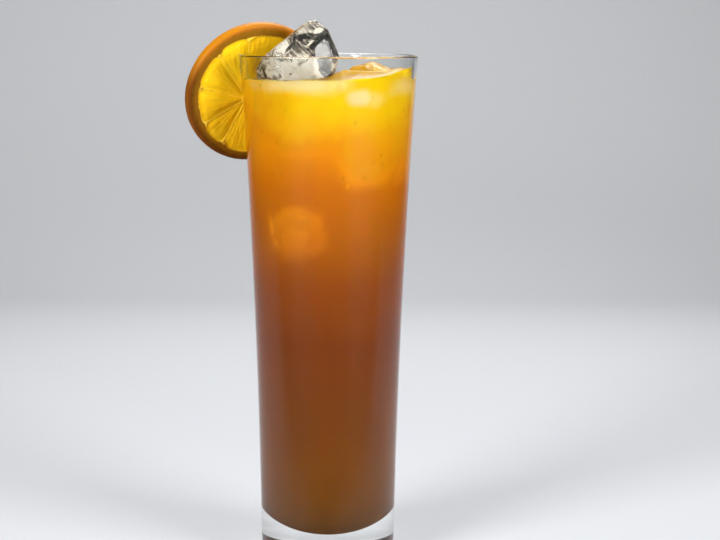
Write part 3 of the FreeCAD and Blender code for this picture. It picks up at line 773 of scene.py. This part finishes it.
def wheel_matrix(sizes):
    """Place of the wheel: its own X and Y lie in the cut face and its Z points out of the front face."""
    turn, lean = sizes.wheel_turn, sizes.wheel_lean
    across = -(RIM_RADIUS - sizes.wall / 2 - sizes.wheel_inset)
    deep = sizes.wheel_inset * math.tan(turn) + sizes.wheel_drop * math.tan(lean) / math.cos(turn)
    centre = Matrix.Translation((across, deep, GLASS_TOP - sizes.wheel_drop))
    return centre @ Matrix.Rotation(turn, 4, "Z") @ Matrix.Rotation(math.pi / 2 + lean, 4, "X")


def turned_about_y(points, degrees):
    """Points turned about the Y axis by a: (x cos a + z sin a, y, z cos a - x sin a)."""
    angle = math.radians(degrees)
    x = points[..., 0] * math.cos(angle) + points[..., 2] * math.sin(angle)
    z = -points[..., 0] * math.sin(angle) + points[..., 2] * math.cos(angle)
    return np.stack([x, points[..., 1], z], axis=-1)


def oval_place(points, middle, half, turn):
    """Places x and z of points in the half sizes of an oval about middle, turned about the Y axis."""
    local = turned_about_y(points - np.array([middle[0], 0.0, middle[1]]) * MM, turn)
    return local[..., 0] / (half[0] * MM), local[..., 2] / (half[1] * MM)


def froth_streaks(points):
    """Share of froth from 0 to 1: noise drawn out along X and slanted, so that it lies in streaks."""
    drawn_out = points * np.array([0.25, 0.8, 1.0]) + np.array([0.0, 0.0, FROTH_SLANT]) * points[..., :1]
    return smooth_step(0.05, 0.50, layered_noise(drawn_out, 1.1 * MM, 71))


def drink_lights(points, wall):
    """Shares of pale, of cream and of dark at the drink's wall: soft-edged patches of painted glow,
    froth and painted highlights, a paler top, and stray specks.

    A patch's reach is (|x|^2.6 + |z|^2.6)^(1/2.6) in its own half sizes, made uneven by noise.
    """
    pale, cream = np.zeros(points.shape[:-1]), np.zeros(points.shape[:-1])
    front = smooth_step(2.0 * MM, -6.0 * MM, points[..., 1])
    for seed, (middle, half, turn, soft, pale_share, cream_share) in enumerate(LIT_PLACES):
        x, z = oval_place(points, middle, half, -turn)
        reach = (np.abs(x) ** PATCH_POWER + np.abs(z) ** PATCH_POWER) ** (1 / PATCH_POWER)
        reach = reach + 0.26 * soft * layered_noise(points, 5 * MM, 40 + seed)
        fade = front * smooth_step(1.0 + soft / 2, 1.0 - soft, reach)
        pale = np.maximum(pale, pale_share * fade)
        cream = np.maximum(cream, cream_share * fade)
    from_wall = wall_radius(DRINK_LEVEL, wall) - np.hypot(points[..., 0], points[..., 1])
    surface = smooth_step(0.4 * MM, 0.8 * MM, from_wall) * (points[..., 2] > DRINK_LEVEL - 1.5 * MM)
    by_lump = smooth_step(9.0 * MM, 1.0 * MM, ice_distance(points, "ice_lump"))
    pale = np.maximum(pale, 0.60 * surface)
    cream = np.maximum(cream, surface * (0.18 + 0.6 * by_lump * froth_streaks(points)))
    angle = np.arctan2(points[..., 1], points[..., 0])
    near, _, tone = cell_pattern(angle * 30 * MM / SPECK_CELL, points[..., 2] / SPECK_CELL, 61)
    high_up = smooth_step(0.10, 0.15, points[..., 2])
    speck = SPECK_SHARE * smooth_step(0.085, 0.04, near) * (tone > 0.80) * high_up
    return np.stack([pale, cream, speck, np.ones_like(pale)], axis=-1)


def build_glass(context):
    """The glass: its half section carried once round the Z axis."""
    sizes, colours = context.scene.tonic_sizes, context.scene.tonic_colours
    points, faces = closed_grid(turn_profile(*glass_profile(sizes), 256))
    mesh = make_mesh("glass_shell", points, faces)
    add_piece("glass_shell", mesh, glass_material(colours), ["glass"])


def surface_climb(top, from_wall, meniscus):
    """Rise of the drink's surface: up the wall, up both pieces of ice, froth and a slow unevenness.

    Each climb is height x exp(-distance / spread). The swell on the right of the wall is also
    multiplied by exp(-((angle - middle) / half)^2).
    """
    angle = np.arctan2(top[..., 1], top[..., 0])
    swell, swell_spread, swell_middle, swell_half = 2.2 * MM, 3.4 * MM, -0.15, 0.36
    climb = meniscus * np.exp(-from_wall / MENISCUS_SPREAD)
    climb += swell * np.exp(-from_wall / swell_spread) * np.exp(-(((angle - swell_middle) / swell_half) ** 2))
    for node, height, spread in (("ice_chunk", 0.8 * MM, 1.2 * MM), ("ice_lump", 3.6 * MM, 4.2 * MM)):
        climb += height * np.exp(-np.clip(ice_distance(top, node), 0, None) / spread)
    bubble = 1.3 * MM
    near, _, tone = cell_pattern(top[..., 0] / bubble, top[..., 1] / bubble, 5)
    froth = smooth_step(7 * MM, 0.5 * MM, from_wall)
    climb += 0.22 * MM * froth * np.clip(0.5 - near, 0, 1) * (tone > 0.45)
    tilt = 0.02 * top[..., 0]
    return climb + 0.12 * MM * layered_noise(top, 5 * MM, 8) + tilt


def build_drink(context):
    """The drink turned from its half section, with an uneven top that climbs the wall and the ice.

    The top is level plus its climb, and the uppermost rows of the side follow it by the cube of
    their share of the way up.
    """
    sizes, colours = context.scene.tonic_sizes, context.scene.tonic_colours
    soak, wall = sizes.soak, sizes.wall
    around, side_rows, edge_rows, top_rows, blend_rows = 320, 165, 26, 70, 40
    low = DRINK_FLOOR - soak
    corner = sizes.corner + soak
    middle = float(wall_radius(low + corner, wall - soak)) - corner
    floor_x = np.linspace(AXIS_GAP, middle, 6)
    corner_x, corner_z = round_corner((middle, low + corner), corner, -90, 0, 40)
    side_z = np.linspace(low + corner, DRINK_LEVEL, side_rows)[1:]
    side_x = wall_radius(side_z, wall - soak)
    edge_x = side_x[-1] - np.linspace(0.0, 4.0, edge_rows) * MM
    top_x = np.concatenate([edge_x, np.linspace(edge_x[-1] - 0.4 * MM, AXIS_GAP, top_rows)])
    radii = np.concatenate([floor_x, corner_x[1:], side_x, top_x])
    floor_z, top_z = np.full(len(floor_x), low), np.full(len(top_x), DRINK_LEVEL)
    heights = np.concatenate([floor_z, corner_z[1:], side_z, top_z])
    rings = turn_profile(radii, heights, around)
    top = rings[-len(top_x):]
    from_wall = side_x[-1] - np.hypot(top[..., 0], top[..., 1])
    climb = surface_climb(top, from_wall, sizes.meniscus)
    top[..., 2] += climb
    side = rings[-len(top_x) - blend_rows:-len(top_x)]
    side[..., 2] += climb[0] * np.linspace(0, 1, blend_rows)[:, None] ** 3
    points, faces = closed_grid(rings)
    mesh = make_mesh("tonic", points, faces)
    add_layer(mesh, "lights", "FLOAT_COLOR", "POINT", drink_lights(points, wall))
    add_piece("tonic", mesh, drink_material(colours, "cloudy_tonic", 0.0), ["drink"])
    # The surface's copy of the drink's material is darkened, a painted shade
    mesh.materials.append(drink_material(colours, "tonic_surface", 0.12, colours.surface_shade))
    normals = np.empty(len(mesh.polygons) * 3)
    mesh.polygons.foreach_get("normal", normals)
    upward = (normals.reshape(-1, 3)[:, 2] > 0.3).astype(np.int32)
    mesh.polygons.foreach_set("material_index", upward)


def wheel_relief(x, y, sizes):
    """Relief and colour marks of one cut face at wheel coordinates x, y.

    Returns the sink below the pith, the share of pulp, the nearness to a wall and the tone of
    the juice sac, which holds painted light and shade across each segment. Walls leave the core at
    the angles first + 360 k / n + sway. A segment is what lies inside its two walls, the pith and
    the core: the soft least of those distances, -s ln(sum exp(-d / s)), so that its corners are rounded.
    """
    radius = np.hypot(x, y)
    core_x, core_y = x + sizes.core_out, y + sizes.core_down
    out = np.hypot(core_x, core_y)
    angle = np.arctan2(core_y, core_x)
    from_membrane = np.full(x.shape, 1.0)
    for number in range(sizes.segments):
        sway = MEMBRANE_SWAY[number % len(MEMBRANE_SWAY)]
        wall = sizes.first_membrane + 2 * np.pi * number / sizes.segments + math.radians(sway)
        off = np.angle(np.exp(1j * (angle - wall)))
        from_membrane = np.minimum(from_membrane, np.where(np.abs(off) < 1.5, np.abs(np.sin(off)) * out, 1.0))
    uneven = 0.35 * MM * np.sin(3 * angle + 0.8) + 0.2 * MM * np.sin(7 * angle)
    notch = NOTCH_DEPTH * np.exp(-((from_membrane / NOTCH_WIDTH) ** 2))
    from_pith = sizes.wheel_radius - sizes.rind + 0.5 * MM - radius + uneven - notch
    parts = np.stack([from_membrane - MEMBRANE_HALF, from_pith, out - sizes.core_radius])
    parts = np.clip(parts, -6 * MM, 12 * MM)
    inside = -CORNER_SOFTNESS * np.log(np.sum(np.exp(-parts / CORNER_SOFTNESS), axis=0))
    pulp = smooth_step(-0.45 * MM, 0.25 * MM, inside)
    fibre = 0.5 * np.sin(angle * 31.0)
    near, second, tone = cell_pattern(angle * SACS_AROUND, out / SAC_LENGTH + fibre, 21)
    seam = smooth_step(0.20, 0.0, second - near)
    edge = 0.14 * seam * smooth_step(0.5 * MM, 3 * MM, inside)
    edge = edge + 0.85 * smooth_step(0.35 * MM, -0.3 * MM, inside)
    puff = np.clip(1.0 - (near / 0.62) ** 2, 0.0, 1.0)
    edge_sink, sac_bulge, middle_bulge, membrane_sink = 0.50 * MM, 0.11 * MM, 0.36 * MM, 0.10 * MM
    sink = pulp * (edge_sink - sac_bulge * puff - middle_bulge * smooth_step(0.2 * MM, 2.6 * MM, inside))
    by_membrane = smooth_step(0.7 * MM, 0.15 * MM, from_membrane) * (from_pith > 0)
    sink += membrane_sink * by_membrane * (1 - pulp)
    across = ((angle - sizes.first_membrane) % (2 * np.pi)) / (2 * np.pi) * sizes.segments
    segment = np.floor(across).astype(np.int64)
    shade = lattice_number(np.stack([segment, segment, segment], axis=-1), 7)
    # Painted light and shade: each segment paler towards one wall and darker towards the other
    tilt = np.array(SEGMENT_LIGHT_TILT)[segment % len(SEGMENT_LIGHT_TILT)] * (across - segment - 0.5)
    pale = 0.50 + 0.10 * tone + 0.3 * shade + 0.9 * tilt + 0.15 * smooth_step(0, 9 * MM, inside)
    return sink, pulp, np.clip(edge, 0, 1), np.clip(pale, 0.0, 1.0)


def build_wheel(context):
    """The citrus wheel: two cut faces joined by a rounded rind, slit where the wall goes through.

    Its half section is a face, a round edge of radius bend and the rind, and the same again behind.
    Carried round, its radius is multiplied by two slow waves of the angle, and each face sinks by
    its relief.
    """
    sizes, colours = context.scene.tonic_sizes, context.scene.tonic_colours
    radius, half = sizes.wheel_radius, sizes.wheel_thickness / 2
    hub, bend, pore, pore_depth, rough = 0.4 * MM, 1.3 * MM, 1.1 * MM, 0.004, 0.05 * MM
    face = np.linspace(hub, radius - bend, 80)
    arc = np.radians(np.linspace(90, -90, 13)[1:-1])
    rim_x = radius - bend + bend * np.cos(arc)
    rim_z = (half - bend) * np.sign(np.sin(arc)) * np.minimum(1, np.abs(np.sin(arc)) * 3) + bend * np.sin(arc)
    front, back = np.full(len(face), half), np.full(len(face), -half)
    rings = turn_profile(np.concatenate([face, rim_x, face[::-1]]), np.concatenate([front, rim_z, back]), 480)
    angle = np.arctan2(rings[..., 1], rings[..., 0])
    swell = 1.0 - 0.003 * (1 + np.sin(2 * angle + 0.6)) - 0.0015 * (1 + np.sin(5 * angle))
    rings[..., :2] *= swell[..., None]
    sink, pulp, edge, tone = wheel_relief(rings[..., 0], rings[..., 1], sizes)
    side = np.concatenate([np.ones(len(face)), np.zeros(len(arc)), -np.ones(len(face))])[:, None]
    pores = cell_pattern(angle * radius / pore, rings[..., 2] / pore, 33)[0]
    rings[..., 2] -= side * sink
    rings[..., :2] *= np.where(side == 0, 1.0 - pore_depth * smooth_step(0.35, 0.05, pores), 1.0)[..., None]
    rings[..., 2] += side * rough * layered_noise(rings, 1.6 * MM, 17)
    depth = (radius - np.hypot(rings[..., 0], rings[..., 1])) / sizes.rind
    skin = np.clip(1.0 - depth, 0, 1) + 0.10 * layered_noise(rings, 1.2 * MM, 19) * np.abs(side)
    # Painted shade: the rind and pith darken towards the wheel's lower side, as if lit from above
    lit = smooth_step(0.05, 0.62, rings[..., 1] / radius)
    lighted = 1.0 - (1.0 - lit) * smooth_step(0.25, 0.75, skin)
    points, faces = closed_grid(rings)
    place = np.array(wheel_matrix(sizes))
    mesh = make_mesh("citrus_slice", points @ place[:3, :3].T + place[:3, 3], faces)
    marks = np.stack([pulp * np.abs(side), edge, tone, lighted], axis=-1).reshape(-1, 4)
    marks = np.concatenate([marks, marks[:1], marks[-1:]])
    skins = np.append(skin.ravel(), [0.0, 0.0])
    corner_of = np.empty(len(mesh.loops), dtype=np.int32)
    mesh.loops.foreach_get("vertex_index", corner_of)
    add_layer(mesh, "marks", "FLOAT_COLOR", "CORNER", marks[corner_of])
    add_layer(mesh, "skin", "FLOAT", "CORNER", skins[corner_of])
    add_piece("citrus_slice", cut_slit(mesh, sizes), citrus_material(colours), ["citrus_wheel"])


def cut_slit(mesh, sizes):
    """Take the glass's wall, made thicker by the slit's play, out of the wheel below the lip."""
    play = sizes.slit_play
    reach = 60 * MM
    heights = np.linspace(GLASS_TOP - reach, GLASS_TOP, 50)
    outer = turn_profile(wall_radius(heights, -play), heights, 256)
    inner = turn_profile(wall_radius(heights[::-1], sizes.wall + play), heights[::-1], 256)
    loop = np.concatenate([outer, inner])
    quads = grid_quads(*loop.shape[:2], shut=True).tolist()
    gauge = bpy.data.objects.new("rim_gauge", make_mesh("rim_gauge", loop.reshape(-1, 3), quads))
    whole = bpy.data.objects.new("uncut_wheel", mesh)
    for item in (gauge, whole):
        bpy.context.scene.collection.objects.link(item)
    saw = whole.modifiers.new("slit", "BOOLEAN")
    saw.operation = "DIFFERENCE"
    saw.solver = "EXACT"
    saw.object = gauge
    ready = whole.evaluated_get(bpy.context.evaluated_depsgraph_get())
    cut = bpy.data.meshes.new_from_object(ready)
    cut.name = "citrus_slice"
    for item in (gauge, whole):
        bpy.data.objects.remove(item)
    return cut


def rough_ice(node, outline, chips, depth, melt, seed):
    """A lump of ice that fills its node's box: its outline, chipped into facets, a little melted.

    Returns its rows of points and the number of the facet that each point lies on.
    """
    low, high = (np.array(corner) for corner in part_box(node))
    rows, facet = chip(outline_solid(outline, (high - low) / 2), chips, depth, seed)
    out = rows / np.linalg.norm(rows, axis=-1)[..., None]
    dents = layered_noise(rows, 7 * MM, seed) + 0.35 * np.abs(noise(rows, 2.5 * MM, seed + 9))
    rows = rows + out * (melt * dents)[..., None]
    return fit_to_box(rows, low, high), facet


def build_ice(context):
    """The clear chunk with its frosted core, the floating lump and the sunk pieces."""
    sizes, colours = context.scene.tonic_sizes, context.scene.tonic_colours
    rows, facet = rough_ice("ice_chunk", CHUNK_OUTLINE, 34, 0.72, 0.16 * MM, 3)
    mesh = make_mesh("ice_chunk_clear", *closed_grid(rows))
    add_piece("ice_chunk_clear", mesh, ice_material(colours), ["ice_chunk"])
    low, high = (np.array(corner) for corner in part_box("ice_chunk"))
    middle = (low + high) / 2
    points, faces = closed_grid(middle + CORE_SHARE * (rows - middle))
    mesh = make_mesh("ice_chunk_frost", points, faces)
    facet = np.concatenate([facet.ravel(), facet[0, :1], facet[-1, :1]])
    add_layer(mesh, "frost", "FLOAT", "POINT", frost_tone(points, facet))
    add_piece("ice_chunk_frost", mesh, frosted_material(colours))
    build_coated_lump(colours)
    build_sunk_ice(sizes, colours)


def frost_tone(points, facet):
    """Tone of the frosted core from 0 to 1: one share by facet, one by place that paints dark
    see-through places and highlights, streaks and dark seams.

    The streaks are noise squeezed across one slanting direction of the front, and the seams lie
    where a slow noise passes through 0.
    """
    tone = 0.30 + 0.56 * lattice_number(np.stack([facet, facet, facet], axis=-1), 3)
    for middle, half, turn, change in FROST_AND_REFLECTION_PLACES:
        x, z = oval_place(points, middle, half, turn)
        tone = tone + change * smooth_step(1.25, 0.7, np.hypot(x, z) + 0.45 * noise(points, 1.7 * MM, 31))
    slanted = turned_about_y(points, FROST_SLANT) * np.array([0.25, 0.5, 1.0])
    tone = tone + 0.26 * layered_noise(slanted, 0.9 * MM, 35)
    seam = np.abs(layered_noise(points, 4.2 * MM, 37))
    return np.clip(tone - 0.5 * smooth_step(0.05, 0.01, seam), 0.0, 1.0)


def build_coated_lump(colours):
    """The floating lump: ice under a skin of juice, with streaks of froth along it."""
    rows, _ = rough_ice("ice_lump", LUMP_OUTLINE, 26, 0.80, 0.35 * MM, 13)
    points, faces = closed_grid(rows)
    mesh = make_mesh("ice_lump_coated", points, faces)
    add_layer(mesh, "streak", "FLOAT", "POINT", froth_streaks(points))
    material = streaked_material("coated_ice", colours.lump_colour, colours.lump_froth_colour)
    add_piece("ice_lump_coated", mesh, material, ["ice_lump"])


def streaked_material(name, base, streak_colour):
    """A wet skin of juice: its base colour with paler streaks where the streak attribute says."""
    material, tree, shader = start_material(name)
    streak = add_node(tree, "ShaderNodeAttribute", attribute_name="streak").outputs["Fac"]
    tree.links.new(blend_colour(tree, streak, base, streak_colour), shader.inputs["Base Color"])
    set_sockets(shader, Roughness=0.22, Specular_IOR_Level=0.2, Subsurface_Weight=0.15,
                Subsurface_Radius=(1.0, 0.6, 0.2), Subsurface_Scale=1.0 * MM)
    add_bump(tree, shader, streak, 0.5, 0.3 * MM)
    return material


def build_sunk_ice(sizes, colours):
    """The pieces of ice wholly under the surface, kept just behind the inside of the wall."""
    sharpness, unevenness, gap = 7.0, 1 / 12, 0.1 * MM
    clear = plain_material("sunk_ice", colours.sunk_ice_colour, 0.2,
                           Subsurface_Weight=0.5, Subsurface_Scale=3 * MM)
    for seed, (name, middle, half, turn) in enumerate(SUNK_ICE):
        rows = soft_block(np.array(half) * MM, sharpness, 60, 90)
        rows = rows + rows * unevenness * layered_noise(rows, 8 * MM, 50 + seed)[..., None]
        rows = turned_about_y(rows, turn) + np.array(middle) * MM
        reach = np.hypot(rows[..., 0], rows[..., 1])
        limit = wall_radius(rows[..., 2], sizes.wall + gap)
        rows[..., :2] *= np.minimum(1.0, limit / reach)[..., None]
        add_piece(name, make_mesh(name, *closed_grid(rows)), clear)


def build_froth(context):
    """Bubbles along the wall at the drink's edge, most of them small and close to the wall."""
    sizes, colours = context.scene.tonic_sizes, context.scene.tonic_colours
    count, smallest, spread, reach_in = 420, 0.14 * MM, 0.42 * MM, 2.2 * MM
    draw = np.random.default_rng(4)
    angle = draw.random(count) * 2 * np.pi
    radii = smallest + spread * draw.random(count) ** 3
    inward = radii * 0.9 + reach_in * draw.random(count) ** 3
    reach = float(wall_radius(DRINK_LEVEL, sizes.wall)) - inward
    lift = DRINK_LEVEL + sizes.meniscus * np.exp(-inward / MENISCUS_SPREAD) + 0.15 * radii
    centres = np.stack([reach * np.cos(angle), reach * np.sin(angle), lift], axis=-1)
    film = plain_material("froth_bubbles", colours.froth_colour, 0.06, Transmission_Weight=0.55, IOR=1.2)
    add_piece("froth_bubbles", make_mesh("froth_bubbles", *many_balls(centres, radii)), film)


def build_stage(context):
    """Pale floor with painted shade in front and at the sides, sweeping up behind through a quarter
    round, soft lamps and the camera.
    """
    front, back, bend, wide = -1.1, 0.605, 0.45, 1.6
    angle = np.linspace(0, np.pi / 2, 30)
    wall_rise = bend + np.linspace(0.05, 1.6, 20)
    floor, wall = np.linspace(front, back, 30), np.full(len(wall_rise), back + bend)
    depth = np.concatenate([floor, back + bend * np.sin(angle), wall])
    rise = np.concatenate([np.zeros(len(floor)), bend * (1 - np.cos(angle)), wall_rise])
    columns, count = 80, len(depth)
    x, row = np.meshgrid(wide * np.linspace(-1.0, 1.0, columns), np.arange(count), indexing="ij")
    points = np.stack([x, depth[row], rise[row]], axis=-1).reshape(-1, 3)
    column, step = np.meshgrid(np.arange(columns - 1), np.arange(count - 1), indexing="ij")
    base = column * count + step
    quads = np.stack([base, base + count, base + count + 1, base + 1], axis=-1).reshape(-1, 4).tolist()
    mesh = bpy.data.meshes.new("pale_sweep")
    mesh.from_pydata(points.tolist(), [], quads)
    mesh.shade_smooth()
    mesh.materials.append(paper_material(context.scene.tonic_colours))
    sweep = bpy.data.objects.new("pale_sweep", mesh)
    context.scene.collection.objects.link(sweep)
    add_lamps(context)
    add_camera(context)


def aim(item, place, target):
    """Put a lamp at place and point it at target."""
    item.location = place
    item.rotation_euler = (Vector(target) - Vector(place)).to_track_quat("-Z", "Y").to_euler()


# Soft boxes: name, place in metres, power in watts, width in metres and spread in degrees
SOFT_BOXES = (
    ("key_softbox", (-0.75, -0.85, 0.46), 3.8, 0.50, 80.0),
    ("fill_softbox", (0.85, -0.75, 0.38), 3.9, 0.60, 80.0),
    ("back_softbox", (0.10, 0.55, 0.80), 2.2, 0.50, 100.0),
)
LAMP_TARGET = (0.0, 0.0, 0.10)
SURROUND = 0.14


def add_lamps(context):
    """A dim even surround and three soft boxes, low enough to light the glass more than the floor."""
    world = bpy.data.worlds.new("studio")
    context.scene.world = world
    world.use_nodes = True
    set_sockets(world.node_tree.nodes["Background"], Color=(1.0, 1.0, 1.0, 1.0), Strength=SURROUND)
    for name, place, power, width, spread in SOFT_BOXES:
        light = bpy.data.lights.new(name, "AREA")
        light.energy = power
        light.size = width
        light.spread = math.radians(spread)
        lamp = bpy.data.objects.new(name, light)
        context.scene.collection.objects.link(lamp)
        aim(lamp, place, LAMP_TARGET)


# The camera: its lens and sensor in millimetres, its place in metres, its turns in degrees
LENS, SENSOR = 91.5, 36.0
CAMERA_PLACE = (0.0, -0.663, 0.19905)
CAMERA_DOWN, CAMERA_RIGHT, CAMERA_ROLL = 8.0, 0.996, 0.3


def add_camera(context):
    """A long lens, a little above the rim and looking slightly down."""
    lens = bpy.data.cameras.new("camera")
    lens.lens = LENS
    lens.sensor_width = SENSOR
    camera = bpy.data.objects.new("camera", lens)
    context.scene.collection.objects.link(camera)
    turn = Matrix.Rotation(-math.radians(CAMERA_RIGHT), 4, "Z")
    pitch = Matrix.Rotation(math.pi / 2 - math.radians(CAMERA_DOWN), 4, "X")
    roll = Matrix.Rotation(math.radians(CAMERA_ROLL), 4, "Z")
    camera.matrix_world = Matrix.Translation(CAMERA_PLACE) @ turn @ pitch @ roll
    context.scene.camera = camera
    context.scene.view_settings.view_transform = "Standard"


# ---------------------------------------------------------------- operators

class TONIC_OT_glass(bpy.types.Operator):
    """Build the clear glass"""
    bl_idname = "tonic.glass"
    bl_label = "Glass"

    def execute(self, context):
        build_glass(context)
        return {"FINISHED"}


class TONIC_OT_drink(bpy.types.Operator):
    """Build the cloudy drink"""
    bl_idname = "tonic.drink"
    bl_label = "Drink"

    def execute(self, context):
        build_drink(context)
        return {"FINISHED"}


class TONIC_OT_wheel(bpy.types.Operator):
    """Build the citrus wheel on the rim"""
    bl_idname = "tonic.wheel"
    bl_label = "Citrus wheel"

    def execute(self, context):
        build_wheel(context)
        return {"FINISHED"}


class TONIC_OT_ice(bpy.types.Operator):
    """Build the ice, clear, coated and sunk"""
    bl_idname = "tonic.ice"
    bl_label = "Ice"

    def execute(self, context):
        build_ice(context)
        return {"FINISHED"}


class TONIC_OT_froth(bpy.types.Operator):
    """Build the bubbles at the drink's edge"""
    bl_idname = "tonic.froth"
    bl_label = "Froth"

    def execute(self, context):
        build_froth(context)
        return {"FINISHED"}


class TONIC_OT_stage(bpy.types.Operator):
    """Build the floor, the lamps and the camera"""
    bl_idname = "tonic.stage"
    bl_label = "Stage"

    def execute(self, context):
        build_stage(context)
        return {"FINISHED"}


class TONIC_PT_panel(bpy.types.Panel):
    """Sidebar panel that lists the operators"""
    bl_label = "Tonic"
    bl_idname = "TONIC_PT_panel"
    bl_space_type = "VIEW_3D"
    bl_region_type = "UI"
    bl_category = "Tonic"

    def draw(self, context):
        for operator in OPERATORS:
            self.layout.operator(operator.bl_idname)


OPERATORS = (TONIC_OT_glass, TONIC_OT_drink, TONIC_OT_wheel, TONIC_OT_ice, TONIC_OT_froth, TONIC_OT_stage)
CLASSES = (TonicGlassSizes, TonicColours, *OPERATORS, TONIC_PT_panel)


def register():
    """Register the classes and give the scene its settings."""
    for item in CLASSES:
        bpy.utils.register_class(item)
    bpy.types.Scene.tonic_sizes = PointerProperty(type=TonicGlassSizes)
    bpy.types.Scene.tonic_colours = PointerProperty(type=TonicColours)


def unregister():
    """Take back what register did."""
    del bpy.types.Scene.tonic_colours
    del bpy.types.Scene.tonic_sizes
    for item in reversed(CLASSES):
        bpy.utils.unregister_class(item)


def main():
    """Build every piece and the stage."""
    register()
    bpy.ops.tonic.glass()
    bpy.ops.tonic.drink()
    bpy.ops.tonic.wheel()
    bpy.ops.tonic.ice()
    bpy.ops.tonic.froth()
    bpy.ops.tonic.stage()


if __name__ == "__main__":
    main()
